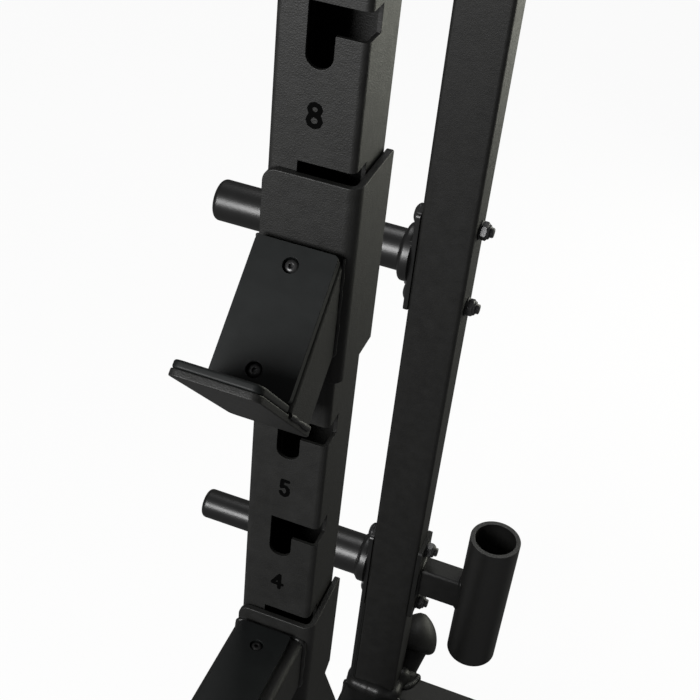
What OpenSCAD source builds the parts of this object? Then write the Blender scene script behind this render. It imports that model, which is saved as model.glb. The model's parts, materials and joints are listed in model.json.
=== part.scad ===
// Half rack for barbell training: two welded side frames of steel tube, joined by
// a base crossmember, a top crossmember and a pull-up bar. The front uprights have
// numbered L-shaped slots, in which the bar catches and the spotter arms hang.
// Millimetres, +Z up, the user stands on the -Y side. The origin is on the floor,
// in the middle of the rack's outline.

/* [Frame] */
// Width over the outer faces of the uprights
rack_w = 1200; // [1000:10:1400]
// Height over the uprights, without their caps
rack_h = 2190; // [2100:10:2500]
// Depth from the front face of the front uprights to the rear face of the rear uprights
frame_d = 479; // [440:1:700]
// Side of the square front upright tube
upright_w = 60; // [58:1:70]
// Depth of the rear upright tube, front to back
rear_tube_d = 48; // [46:1:60]
// Wall of every frame tube
tube_wall = 3; // [2.5:0.5:4]
// Outer corner radius of every frame tube
tube_r = 5; // [4:0.5:8]
// Height of the side beams at the top of the frame
top_beam_h = 60; // [40:1:80]
// Length of each cap above the upright that it closes
cap_t = 5; // [3:0.5:8]

/* [Base] */
// How far the base runners reach in front of the front uprights
runner_reach = 600; // [560:10:800]
// Width of the base runner tube
runner_w = 80; // [76:1:100]
// Height of the base tubes
base_h = 60; // [50:1:80]
// Thickness of the rubber foot pads
foot_t = 6; // [4:0.5:12]
// Diameter of the rubber foot pads
foot_dia = 44; // [30:1:46]
// Side of the square diagonal brace tube
brace_w = 50; // [40:1:56]
// Height above the floor where the rear edge of the brace meets the front upright
brace_top = 583; // [450:1:700]
// Distance from the front upright to the rear edge of the brace's foot
brace_run = 258; // [200:1:300]

/* [Slots] */
// Number of slots in each front upright
slot_count = 15; // [8:1:16]
// Height of the top edge of slot 1 above the floor
slot_first = 488; // [440:1:560]
// Distance from one slot to the next
slot_pitch = 103.7; // [100:0.1:110]
// Width of the upright leg of a slot
slot_w = 18; // [16:0.5:20]
// Height of the arm of a slot, through which a hook goes in
slot_arm_h = 18.4; // [18:0.1:22]
// Height of a whole slot, from its top edge to its round lower end
slot_h = 41; // [38:0.5:48]
// Depth of the notch where the slot's arm opens through the inner side wall
slot_notch = 20; // [18:0.5:24]

/* [Weight storage] */
// Height of the lower storage pegs' axis
peg_low = 297.5; // [280:0.5:360]
// Distance between the axes of the lower and the upper storage pegs
peg_pitch = 479; // [460:1:520]
// Diameter of a storage peg
peg_dia = 47.5; // [44:0.5:49]
// Length of an upper storage peg from the upright
peg_len = 240; // [180:1:320]
// Wall of a storage peg
peg_wall = 3.5; // [2.5:0.5:5]
// Rounding of a storage peg's free end
peg_round = 6; // [3:0.5:10]
// Diameter of the stepped lower storage peg
low_peg_dia = 40; // [36:0.5:48]
// Length of a lower storage peg from the upright
low_peg_len = 246; // [180:1:320]
// Diameter of the spacer sleeve at the root of the lower storage peg
sleeve_dia = 54.5; // [52:0.5:58]
// Length of the lower storage peg that the spacer sleeve covers, from the upright
sleeve_len = 75; // [40:1:110]
// Diameter of the stop collar at the root of a storage peg
collar_dia = 66; // [60:1:70]
// Length of the stop collar
collar_len = 12; // [10:1:30]
// Thickness of the plates that pegs and bar holders are welded to
flange_t = 5.5; // [5:0.5:10]
// Height of those plates
flange_h = 123; // [122:1:160]
// Distance between the two bolts of a plate
bolt_gap = 98; // [96:1:104]

/* [Bar holders] */
// Outer diameter of the upright holder tube
holder_dia = 63.5; // [60:0.5:76]
// Bore of the holder tube, for the end of a barbell
holder_bore = 51.5; // [51:0.5:54]
// Length of the holder tube
holder_len = 208; // [150:1:300]
// Distance from the upright's outer face to the axis of the holder tube
holder_out = 149; // [145:1:220]
// Height of the holder's lower end above the floor
holder_low = 194; // [150:1:200]
// Width and height of the arm that carries the holder tube
holder_arm = [30, 47]; // [10:1:60]

/* [Band pegs] */
// Largest radius of the domed head of a band peg
band_head_r = 32; // [28:0.5:36]
// Length of the head, along the peg
band_head_len = 53.5; // [46:0.5:58]
// Radius of the band peg's neck at its foot
band_neck_r = 14.5; // [12:0.5:17]
// Length of the neck, from the edge that it stands on to the head
band_len = 34.5; // [30:0.5:50]
// Distance from the upright's outer face to the band peg's axis
band_out = 63; // [40:1:80]

/* [Pull-up bar] */
// Diameter of the pull-up bar
grip_dia = 34; // [28:1:42]
// Distance of the pull-up bar below the top of the frame
grip_drop = 62; // [50:1:90]
// Width of the plates on the ends of the bar
grip_plate_w = 56; // [50:1:58]
// Height of the plates on the ends of the bar
grip_plate_h = 104; // [96:1:120]

/* [Bar catches] */
// Number of the slot that holds the upper hook of each bar catch
catch_slot = 7; // [5:1:12]
// Thickness of the bent plate that lies on the upright
plate_t = 5; // [4:0.5:6]
// Gap between the bent plate and the upright
plate_gap = 1; // [0.5:0.1:2]
// Distance from the top edge of the slot down to the top of the plate
plate_drop = 7; // [4:0.5:12]
// Height of the bar catch's plate
catch_plate_h = 154.5; // [146:0.5:170]
// Depth of the plate along the inner side of the upright
plate_wrap = 60; // [40:1:62]
// Slope of the cradle below level
cradle_slope = 43; // [38:1:50]
// Distance from the top of the plate to the top edge of the cradle
cradle_drop = 50; // [45:1:60]
// Length of the cradle tube along its upper edge
cradle_len = 107; // [95:1:120]
// Depth of the cradle tube, square to its upper face
cradle_d = 59; // [50:1:60]
// Height of the lip plate above the cradle's upper face
lip_h = 72; // [55:1:85]
// Length of the lip plate below the cradle tube
lip_low = 10; // [5:1:15]
// Thickness of the lip plate
lip_t = 5; // [4:0.5:8]
// Thickness of the plastic liner on the back of the cradle
back_liner_t = 7.5; // [5:0.5:10]
// Thickness of the plastic liner on the lip
lip_liner_t = 5.5; // [4:0.5:8]

/* [Spotter arms] */
// Number of the slot that holds the upper hook of each spotter arm
spotter_slot = 3; // [2:1:4]
// Height of the spotter plate at the back of the upright
spotter_plate_h = 112; // [100:1:114]
// How much further the spotter plate reaches down at the front
spotter_plate_fall = 35; // [34:1:40]
// Distance from the top of the plate to the top of the spotter tube
spotter_drop = 16; // [12:0.5:24]
// Height of the spotter tube
spotter_h = 60; // [50:1:70]
// Length of the spotter tube
spotter_len = 520; // [400:10:640]
// Height of the end plate above the spotter tube
spotter_lip = 46; // [30:1:60]
// Width of the liner strip on the spotter tube
strip_w = 45; // [30:1:50]
// Thickness of the liner strip on the spotter tube
strip_t = 5.5; // [4:0.5:8]

/* [Fasteners] */
// Shank diameter of the through bolts
bolt_dia = 12; // [10:1:12]
// Diameter of the liner screws' heads
screw_head = 10; // [8:0.5:11]

/* [Hidden] */
$fn = 48;

steel = [0.13, 0.13, 0.13];
plastic = [0.09, 0.095, 0.095];
rubber = [0.05, 0.05, 0.05];

// Overlap that keeps a cut clear of the face that it goes through
cut = 1;
// Clearance of a fixed piece from its seat
seat = 0.3;
// Clearance of a bolt in its hole, all round
hole_gap = 0.5;
// Distance from the rear uprights forward to the top crossmember
sleeve_room = 14;

base_top = foot_t + base_h;
band_rim = 10;
band_curve = 1.5 * band_head_r;
band_tail = (band_head_r - band_curve + band_len + band_rim) * cos(45) + band_curve;
front_y = (runner_reach + cap_t - frame_d - band_tail) / 2;
rear_y = front_y + frame_d;
rear_front_y = rear_y - rear_tube_d;
rear_mid_y = rear_y - rear_tube_d / 2;
outer_x = -rack_w / 2;
inner_x = outer_x + upright_w;
mid_x = outer_x + upright_w / 2;
runner_x = mid_x - runner_w / 2;
peg_heights = [peg_low, peg_low + peg_pitch];
bolt_offsets = [-bolt_gap / 2, bolt_gap / 2];
bolt_r = bolt_dia / 2;
hole_r = bolt_r + hole_gap;
head_r = bolt_dia;
washer_r = bolt_dia - 1.2;
washer_t = 2;
nut_t = 9;
nut_across = 1.5 * bolt_dia;
head_h = 7;
thread_end = 4;
grip_z = rack_h - grip_drop;
grip_plate_t = flange_t;
grip_bolt_gap = grip_plate_h - 2 * bolt_dia - 6;
grip_y = front_y + upright_w / 2;

hook_r = slot_w / 2 - seat;
hook_head_t = 8;
hook_head_w = 1.6 * slot_w;
hook_head_h = slot_arm_h - 2.4;
screw_gap = 0.2;
screw_r = screw_head / 2;
liner_edge = 1.2;

// Top edge of a slot, by its number
function slot_top(number) = slot_first + (number - 1) * slot_pitch;
// Axis of a hook that rests in a slot
function hook_z(number) = slot_top(number) - slot_h + hook_r + seat;

// Draws the left side's piece for side -1 and its mirror image for side 1
module on_side(side) {
    if (side < 0) children();
    else mirror([1, 0, 0]) children();
}

// Rectangle with round corners, its lower left corner at the origin
module round_rect(w, d, r) {
    translate([r, 0]) square([w - 2 * r, d]);
    translate([0, r]) square([w, d - 2 * r]);
    for (x = [r, w - r], y = [r, d - r]) translate([x, y]) circle(r);
}

// Section of a rectangular tube
module tube_section(w, d) {
    difference() {
        round_rect(w, d, tube_r);
        translate([tube_wall, tube_wall])
            round_rect(w - 2 * tube_wall, d - 2 * tube_wall, tube_r - tube_wall);
    }
}

// Rectangular tube along X, its lower front corner at the origin
module tube_x(length, d, h) {
    rotate([90, 0, 90]) linear_extrude(length) tube_section(d, h);
}

// Rectangular tube along Y, its lower front corner at the origin
module tube_y(length, w, h) {
    translate([0, length, 0]) rotate([90, 0, 0]) linear_extrude(length) tube_section(w, h);
}

// Cylinder along X that starts at the origin
module rod_x(r, length) {
    rotate([0, 90, 0]) cylinder(r = r, h = length);
}

// Cylinder along Y that starts at the origin
module rod_y(r, length) {
    rotate([-90, 0, 0]) cylinder(r = r, h = length);
}

// One L-shaped slot, its top edge at height 0, cut from the front and the inner side
module slot_cut() {
    slot_left = upright_w / 2 - slot_w / 2;
    leg_end = slot_h - slot_w / 2;
    translate([slot_left, -cut, -leg_end]) cube([slot_w, tube_r + cut, leg_end]);
    translate([upright_w / 2, -cut, -leg_end]) rod_y(slot_w / 2, tube_r + cut);
    translate([slot_left, -cut, -slot_arm_h])
        cube([upright_w - slot_left + cut, slot_notch + cut, slot_arm_h]);
}

module front_upright(side) {
    color(steel) on_side(side) translate([outer_x, front_y, 0]) difference() {
        translate([0, 0, base_top]) linear_extrude(rack_h - base_top)
            tube_section(upright_w, upright_w);
        for (number = [1:slot_count]) translate([0, 0, slot_top(number)]) slot_cut();
        for (z = [-grip_bolt_gap / 2, grip_bolt_gap / 2])
            translate([upright_w - tube_r, upright_w / 2, grip_z + z]) rod_x(hole_r, tube_r + cut);
    }
}

module rear_upright(side) {
    color(steel) on_side(side) translate([outer_x, rear_front_y, 0]) difference() {
        translate([0, 0, base_top]) linear_extrude(rack_h - base_top)
            tube_section(upright_w, rear_tube_d);
        for (height = peg_heights, z = bolt_offsets)
            translate([-cut, rear_tube_d / 2, height + z]) rod_x(hole_r, upright_w + 2 * cut);
    }
}

module base_runner(side) {
    color(steel) on_side(side) translate([runner_x, front_y - runner_reach, foot_t])
        tube_y(runner_reach + frame_d - rear_tube_d, runner_w, base_h);
}

module rear_base_crossmember() {
    color(steel) translate([runner_x + cap_t, rear_front_y, foot_t])
        tube_x(-2 * (runner_x + cap_t), rear_tube_d, base_h);
}

// Sloping tube that runs from the back of the front upright down to the runner
module diagonal_brace(side) {
    rise = brace_top - base_top;
    slope = atan(rise / brace_run);
    reach = norm([brace_run, rise]) + 2 * brace_w;
    color(steel) on_side(side)
    translate([mid_x - brace_w / 2, front_y + upright_w, base_top]) intersection() {
        translate([0, brace_run, 0]) rotate([180 - slope, 0, 0])
            translate([0, -2 * brace_w, 0]) tube_y(reach, brace_w, brace_w);
        translate([-cut, 0, 0]) cube([brace_w + 2 * cut, brace_run + brace_w, rise + brace_w]);
    }
}

module top_beam(side) {
    color(steel) on_side(side) translate([outer_x, front_y + upright_w, rack_h - top_beam_h])
        tube_y(frame_d - upright_w - rear_tube_d, upright_w, top_beam_h);
}

// Tube between the side beams, far enough forward for a barbell to stand in a holder
module rear_top_crossmember() {
    color(steel) translate([inner_x, rear_front_y - sleeve_room - rear_tube_d, rack_h - top_beam_h])
        tube_x(-2 * inner_x, rear_tube_d, top_beam_h);
}

// Plate with round corners and two bolt holes, its back face on X = 0, centred on its bolts.
// A tail makes it reach further down.
module bolt_plate(t, w, h, gap, r, tail = 0) {
    difference() {
        translate([0, -w / 2, -h / 2 - tail]) rotate([90, 0, 90])
            linear_extrude(t) round_rect(w, h + tail, r);
        for (z = [-gap / 2, gap / 2]) translate([-cut, 0, z]) rod_x(hole_r, t + 2 * cut);
    }
}

module pull_up_bar() {
    end_gap = -2 * inner_x;
    color(steel) translate([0, grip_y, grip_z]) {
        translate([-end_gap / 2 + grip_plate_t, 0, 0])
            rod_x(grip_dia / 2, end_gap - 2 * grip_plate_t);
        for (side = [-1, 1]) on_side(side) translate([-end_gap / 2, 0, 0])
            bolt_plate(grip_plate_t, grip_plate_w, grip_plate_h, grip_bolt_gap, 6);
    }
}

// Half section of a rounded collar, its bottom on the X axis
module collar_section(r, h, edge) {
    square([r, h - edge]);
    square([r - edge, h]);
    translate([r - edge, h - edge]) circle(edge);
}

// Storage peg: plate, stop collar, an optional spacer sleeve and a tube with a closed, rounded end
module storage_peg(side, height, dia, length, sleeve, tail) {
    r = dia / 2;
    bore = r - peg_wall;
    color(steel) on_side(side) translate([outer_x, rear_mid_y, height]) mirror([1, 0, 0]) {
        difference() {
            bolt_plate(flange_t, rear_tube_d, flange_h, bolt_gap, tube_r, tail);
            translate([-cut, 0, 0]) rod_x(bore, flange_t + 2 * cut);
        }
        rotate([0, 90, 0]) rotate_extrude() difference() {
            translate([0, flange_t]) {
                collar_section(r, length - flange_t, peg_round);
                collar_section(collar_dia / 2, collar_len, 5);
                if (sleeve > 0) collar_section(sleeve_dia / 2, sleeve - flange_t, 2);
            }
            translate([-cut, 0]) square([bore + cut, length - peg_round]);
        }
    }
}

module upper_peg(side) {
    storage_peg(side, peg_heights[1], peg_dia, peg_len, 0, 0);
}

// Stepped peg, whose plate reaches down to just above the base
module lower_peg(side) {
    storage_peg(side, peg_heights[0], low_peg_dia, low_peg_len, sleeve_len,
                peg_low - flange_h / 2 - base_top - 2);
}

// Distance from the rear upright's inner face to the axis of the holder tube
holder_axis = holder_out - upright_w;

module holder_tube(side) {
    color(steel) on_side(side) translate([inner_x + holder_axis, rear_mid_y, holder_low]) difference() {
        cylinder(d = holder_dia, h = holder_len);
        translate([0, 0, -cut]) cylinder(d = holder_bore, h = holder_len + 2 * cut);
    }
}

// Plate and arm that carry the holder tube
module holder_bracket(side) {
    arm_y = holder_arm[0];
    arm_z = holder_arm[1];
    color(steel) on_side(side) translate([inner_x, rear_mid_y, peg_low]) {
        bolt_plate(flange_t, rear_tube_d, flange_h, bolt_gap, tube_r);
        difference() {
            translate([flange_t, -arm_y / 2, -arm_z / 2])
                rotate([90, 0, 90]) linear_extrude(holder_axis - flange_t)
                    round_rect(arm_y, arm_z, tube_r);
            translate([holder_axis, 0, -arm_z]) cylinder(d = holder_dia, h = 2 * arm_z);
        }
    }
}

// Half section of a band peg's domed head, the peg's foot at height 0
module band_head_section() {
    rim_at = band_len + band_rim;
    intersection() {
        translate([band_head_r - band_curve, rim_at]) circle(band_curve);
        translate([0, rim_at]) square([band_head_r, band_head_len - band_rim]);
    }
    translate([0, band_len]) square([band_head_r - band_rim, band_rim + cut]);
    translate([band_head_r - band_rim, rim_at]) circle(band_rim);
}

// Round-headed peg for bands, welded to the rear upper edge of the crossmember
module band_peg(side) {
    foot_r = band_neck_r + 4.5;
    foot_h = 7;
    color(steel) on_side(side) difference() {
        translate([outer_x + band_out, rear_y, base_top]) rotate([-45, 0, 0]) {
            translate([0, 0, -foot_r]) cylinder(r = foot_r, h = foot_r);
            cylinder(r1 = foot_r, r2 = band_neck_r + 1, h = foot_h);
            cylinder(r1 = band_neck_r, r2 = band_neck_r + 7, h = band_len + cut);
            rotate_extrude() band_head_section();
        }
        translate([runner_x, rear_front_y, foot_t]) cube([runner_w + rack_w / 4, rear_tube_d, base_h]);
        translate([outer_x, rear_front_y, base_top - cut])
            cube([upright_w + seat, rear_tube_d + seat, 4 * band_head_r]);
    }
}

// Distance from the upright's outer face to the face that the nut of a bolt rests on
function nut_seat(height) = upright_w + (height == peg_low ? flange_t : 0);

// Domed bolt head, its seat on Z = 0
module button_head() {
    intersection() {
        cylinder(r = head_r, h = head_h);
        translate([0, 0, -head_r * 0.6]) sphere(r = head_r * 1.2);
    }
}

module peg_bolts() {
    color(steel) for (side = [-1, 1]) on_side(side) for (height = peg_heights, z = bolt_offsets)
        translate([outer_x - flange_t, rear_mid_y, height + z]) {
            rod_x(bolt_r, flange_t + nut_seat(height) + washer_t + nut_t + thread_end);
            rotate([0, -90, 0]) button_head();
        }
}

module peg_washers() {
    color(steel) for (side = [-1, 1]) on_side(side) for (height = peg_heights, z = bolt_offsets)
        translate([outer_x + nut_seat(height), rear_mid_y, height + z]) difference() {
            rod_x(washer_r, washer_t);
            translate([-cut, 0, 0]) rod_x(hole_r, washer_t + 2 * cut);
        }
}

// Hexagonal nut with a round collar, its seat on X = 0
module lock_nut() {
    collar_h = 3;
    difference() {
        union() {
            rotate([0, 90, 0]) cylinder(d = nut_across / cos(30), h = nut_t - collar_h, $fn = 6);
            rod_x(0.46 * nut_across, nut_t);
        }
        translate([-cut, 0, 0]) rod_x(bolt_r + 0.05, nut_t + 2 * cut);
    }
}

module peg_nuts() {
    color(steel) for (side = [-1, 1]) on_side(side) for (height = peg_heights, z = bolt_offsets)
        translate([outer_x + nut_seat(height) + washer_t, rear_mid_y, height + z]) lock_nut();
}

// Button-head screws that hold the pull-up bar's plates to the front uprights
module bar_screws() {
    color(steel) for (side = [-1, 1]) on_side(side) for (z = [-grip_bolt_gap / 2, grip_bolt_gap / 2])
        translate([inner_x + grip_plate_t, grip_y, grip_z + z]) {
            translate([-grip_plate_t - tube_wall - head_h, 0, 0])
                rod_x(bolt_r, grip_plate_t + tube_wall + head_h);
            rotate([0, 90, 0]) button_head();
        }
}

// Plastic cap with a thin rim and a plug that fits the tube, its rim above Z = 0
module tube_cap(w, d) {
    plug_gap = 0.2;
    plug = tube_wall + plug_gap;
    plug_h = 12;
    round_r = tube_r - tube_wall;
    translate([plug, plug, -plug_h]) linear_extrude(plug_h)
        round_rect(w - 2 * plug, d - 2 * plug, round_r);
    linear_extrude(cap_t / 2) round_rect(w, d, tube_r);
    translate([1, 1, 0]) linear_extrude(cap_t) round_rect(w - 2, d - 2, tube_r - 1);
}

module upright_caps() {
    color(plastic) for (side = [-1, 1]) on_side(side) {
        translate([outer_x, front_y, rack_h]) tube_cap(upright_w, upright_w);
        translate([outer_x, rear_front_y, rack_h]) tube_cap(upright_w, rear_tube_d);
    }
}

module runner_caps() {
    color(plastic) for (side = [-1, 1]) on_side(side)
        translate([runner_x, front_y - runner_reach, foot_t]) rotate([90, 0, 0])
            tube_cap(runner_w, base_h);
}

module crossmember_caps() {
    color(plastic) for (side = [-1, 1]) on_side(side)
        translate([runner_x + cap_t, rear_front_y, foot_t]) rotate([90, 0, -90]) mirror([1, 0, 0])
            tube_cap(rear_tube_d, base_h);
}

module foot_pads() {
    foot_r = foot_dia / 2;
    inset = 40;
    color(rubber) for (side = [-1, 1]) on_side(side) {
        for (y = [front_y - runner_reach + inset, front_y + upright_w / 2])
            translate([mid_x, y, 0]) cylinder(r1 = foot_r - 1.5, r2 = foot_r, h = foot_t);
        translate([mid_x, rear_mid_y, 0]) cylinder(r1 = foot_r - 1.5, r2 = foot_r, h = foot_t);
    }
}

// Plate bent round the upright's front and inner faces, from height 0 up to h
module bent_plate(h) {
    far = upright_w + plate_gap + plate_t;
    inner_r = 4;
    outer_r = inner_r + plate_t;
    linear_extrude(h) difference() {
        union() {
            translate([0, -plate_gap - plate_t]) square([far - outer_r, plate_t]);
            translate([upright_w + plate_gap, outer_r - plate_gap - plate_t])
                square([plate_t, plate_wrap + plate_gap + plate_t - outer_r]);
            translate([far - outer_r, outer_r - plate_gap - plate_t]) intersection() {
                circle(outer_r);
                translate([0, -outer_r]) square(outer_r);
            }
        }
        translate([far - outer_r, outer_r - plate_gap - plate_t]) circle(inner_r);
    }
}

// Cutter that rounds the outer upper corner of a plate, whose corner is at the origin
module corner_cut(r) {
    translate([0, -plate_gap - plate_t - cut, 0]) difference() {
        translate([-cut, 0, -r]) cube([r + cut, plate_t + 2 * cut, r + cut]);
        translate([r, -cut, -r]) rod_y(r, plate_t + 4 * cut);
    }
}

// Cutter that rounds the rear upper corner of a bent plate's inner leaf
module rear_corner_cut(r) {
    translate([upright_w + plate_gap, plate_wrap, 0]) difference() {
        translate([-cut, -r, -r]) cube([plate_t + 2 * cut, r + cut, r + cut]);
        translate([-2 * cut, -r, -r]) rod_x(r, plate_t + 4 * cut);
    }
}

// Hook that passes through a slot: a round neck and a flat head behind the wall
module hook() {
    translate([upright_w / 2, 0, 0]) {
        translate([0, -plate_gap, 0]) rod_y(hook_r, plate_gap + tube_wall + seat + hook_head_t);
        translate([-hook_head_w / 2, tube_wall + seat, -hook_head_h / 2])
            cube([hook_head_w, hook_head_t, hook_head_h]);
    }
}

// Two hooks, in the slot with the given number and in the one below
module hooks(side, number) {
    color(steel) on_side(side) for (n = [number, number - 1])
        translate([outer_x, front_y, hook_z(n)]) hook();
}

catch_top = slot_top(catch_slot) - plate_drop;
corner_r = 10;
rear_corner_r = 3;

module catch_plate(side) {
    color(steel) on_side(side) translate([outer_x, front_y, catch_top]) difference() {
        translate([0, 0, -catch_plate_h]) bent_plate(catch_plate_h);
        corner_cut(corner_r);
        rear_corner_cut(rear_corner_r);
    }
}

// Frame of the sloping cradle: +X inwards, -Y down the slope, +Z square to the slope
module on_cradle() {
    translate([outer_x, front_y - plate_gap - plate_t, catch_top - cradle_drop])
        rotate([cradle_slope, 0, 0]) children();
}

// Sloping tube, cut off flush with the bent plate
module catch_cradle(side) {
    above = catch_plate_h;
    color(steel) on_side(side) intersection() {
        on_cradle() translate([0, -cradle_len, -cradle_d])
            tube_y(cradle_len + above, upright_w, cradle_d);
        translate([outer_x - cut, front_y - plate_gap - plate_t - 2 * cradle_len, catch_top - 2 * above])
            cube([upright_w + 2 * cut, 2 * cradle_len, 3 * above]);
    }
}

// Plate across the lower end of the cradle tube, whose upper part keeps the bar in
module catch_lip(side) {
    color(steel) on_side(side)
        on_cradle() translate([0, -cradle_len, -cradle_d - lip_low]) rotate([90, 0, 0])
            linear_extrude(lip_t) round_rect(upright_w, cradle_d + lip_low + lip_h, 7);
}

// Places of the two screws along the slope of the back liner
screw_places = [0.147 * cradle_len, 0.813 * cradle_len];

module catch_back_liner(side) {
    length = cradle_len - lip_liner_t - seat;
    start = 1.5;
    r = 3.5;
    color(plastic) on_side(side) on_cradle() difference() {
        translate([liner_edge, -length, 0])
            linear_extrude(back_liner_t) round_rect(upright_w - 2 * liner_edge, length - start, r);
        for (along = screw_places) translate([upright_w / 2, -along, 0]) {
            translate([0, 0, -cut]) cylinder(r = screw_r * 0.6 + screw_gap, h = back_liner_t + 2 * cut);
            translate([0, 0, back_liner_t - screw_r]) cylinder(r = screw_r + 0.5, h = screw_r + cut);
        }
    }
}

module catch_lip_liner(side) {
    color(plastic) on_side(side) on_cradle()
        translate([liner_edge / 2, -cradle_len + lip_liner_t, 0]) rotate([90, 0, 0])
            linear_extrude(lip_liner_t) round_rect(upright_w - liner_edge, lip_h, 6.5);
}

// Socket screw with its seat at height 0
module liner_screw(shank) {
    head = 3.5;
    difference() {
        union() {
            cylinder(r = screw_r, h = head);
            translate([0, 0, -shank]) cylinder(r = screw_r * 0.6, h = shank);
        }
        translate([0, 0, head - 2.2]) cylinder(r = screw_r * 0.5, h = 3, $fn = 6);
    }
}

module catch_screws(side) {
    color(steel) on_side(side) on_cradle() for (along = screw_places)
        translate([upright_w / 2, -along, back_liner_t - screw_r]) liner_screw(back_liner_t - screw_r);
}

spotter_top = slot_top(spotter_slot) - plate_drop + 2;
tube_top = spotter_top - spotter_drop;
spotter_front = front_y - plate_gap - plate_t;

// Plate like the bar catch's, whose lower edge falls towards the front
module spotter_plate(side) {
    h = spotter_plate_h + spotter_plate_fall;
    far = plate_wrap + plate_gap + plate_t;
    color(steel) on_side(side) translate([outer_x, front_y, spotter_top]) difference() {
        translate([0, 0, -h]) bent_plate(h);
        corner_cut(corner_r);
        rear_corner_cut(rear_corner_r);
        translate([upright_w - 2 * cut, -plate_gap - plate_t, -h]) rotate([90, 0, 90])
            linear_extrude(plate_t + plate_gap + 4 * cut)
                polygon([[plate_t + plate_gap + 3, -cut], [far + cut, -cut],
                         [far + cut, spotter_plate_fall], [far, spotter_plate_fall],
                         [plate_t + plate_gap + 3, 0]]);
    }
}

module spotter_tube(side) {
    color(steel) on_side(side) translate([outer_x, spotter_front - spotter_len, tube_top - spotter_h])
        tube_y(spotter_len, upright_w, spotter_h);
}

module spotter_end_plate(side) {
    color(steel) on_side(side)
        translate([outer_x, spotter_front - spotter_len, tube_top - spotter_h]) rotate([90, 0, 0])
            linear_extrude(lip_t) round_rect(upright_w, spotter_h + spotter_lip, 4);
}

// Gap between the liner strip and each end of the spotter tube, and its outer edge
strip_end = 4;
strip_inset = 5;
strip_mid_x = outer_x + strip_inset + strip_w / 2;
strip_len = spotter_len - 2 * strip_end;
// Distance from each end of the strip to its first screw, and depth of the screws' recesses
strip_margin = 20;
strip_sink = 4;
// Places of the screws, from the strip's rear end
strip_screws = [for (i = [0:3]) strip_margin + i * (strip_len - 2 * strip_margin) / 3];

module spotter_liner(side) {
    color(plastic) on_side(side)
    translate([strip_mid_x, spotter_front - strip_end, tube_top]) difference() {
        translate([-strip_w / 2, -strip_len, 0]) linear_extrude(strip_t)
            round_rect(strip_w, strip_len, 3);
        for (along = strip_screws) translate([0, -along, 0]) {
            translate([0, 0, -cut]) cylinder(r = screw_r * 0.6 + screw_gap, h = strip_t + 2 * cut);
            translate([0, 0, strip_t - strip_sink]) cylinder(r = screw_r + 0.5, h = strip_sink + cut);
        }
    }
}

module spotter_screws(side) {
    color(steel) on_side(side) for (along = strip_screws)
        translate([strip_mid_x, spotter_front - strip_end - along, tube_top + strip_t - strip_sink])
            liner_screw(strip_t - strip_sink);
}

front_upright(-1);  // left_front_upright
front_upright(1);  // right_front_upright
rear_upright(-1);  // left_rear_upright
rear_upright(1);  // right_rear_upright
base_runner(-1);  // left_base_runner
base_runner(1);  // right_base_runner
rear_base_crossmember();
diagonal_brace(-1);  // left_diagonal_brace
diagonal_brace(1);  // right_diagonal_brace
top_beam(-1);  // left_top_beam
top_beam(1);  // right_top_beam
rear_top_crossmember();
pull_up_bar();
upper_peg(-1);  // left_upper_peg
lower_peg(-1);  // left_lower_peg
upper_peg(1);  // right_upper_peg
lower_peg(1);  // right_lower_peg
holder_bracket(-1);  // left_holder_bracket
holder_tube(-1);  // left_holder_tube
holder_bracket(1);  // right_holder_bracket
holder_tube(1);  // right_holder_tube
band_peg(-1);  // left_band_peg
band_peg(1);  // right_band_peg
peg_bolts();
peg_washers();
peg_nuts();
bar_screws();
upright_caps();
runner_caps();
crossmember_caps();
foot_pads();
catch_plate(-1);  // left_catch_plate
hooks(-1, catch_slot);  // left_catch_hooks
catch_cradle(-1);  // left_catch_cradle
catch_lip(-1);  // left_catch_lip
catch_back_liner(-1);  // left_catch_back_liner
catch_lip_liner(-1);  // left_catch_lip_liner
catch_screws(-1);  // left_catch_screws
catch_plate(1);  // right_catch_plate
hooks(1, catch_slot);  // right_catch_hooks
catch_cradle(1);  // right_catch_cradle
catch_lip(1);  // right_catch_lip
catch_back_liner(1);  // right_catch_back_liner
catch_lip_liner(1);  // right_catch_lip_liner
catch_screws(1);  // right_catch_screws
spotter_plate(-1);  // left_spotter_plate
hooks(-1, spotter_slot);  // left_spotter_hooks
spotter_tube(-1);  // left_spotter_tube
spotter_end_plate(-1);  // left_spotter_end_plate
spotter_liner(-1);  // left_spotter_liner
spotter_screws(-1);  // left_spotter_screws
spotter_plate(1);  // right_spotter_plate
hooks(1, spotter_slot);  // right_spotter_hooks
spotter_tube(1);  // right_spotter_tube
spotter_end_plate(1);  // right_spotter_end_plate
spotter_liner(1);  // right_spotter_liner
spotter_screws(1);  // right_spotter_screws
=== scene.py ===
"""A half rack for barbell training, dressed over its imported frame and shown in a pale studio.

Each steel piece is a fair copy of its construction solid with softened edges. The slot
numbers, weld beads, bolts, nuts and screws are modelled here. Everything is in metres, with
+Z up and the user on the -Y side.
"""

from __future__ import annotations

import json
import logging
import math
from dataclasses import dataclass, field
from enum import Enum
from typing import Callable, Iterable, Sequence

import bpy
from bpy.types import Material, Node, NodeSocket, NodeTree, Object, World
from mathutils import Matrix, Vector, noise

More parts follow.
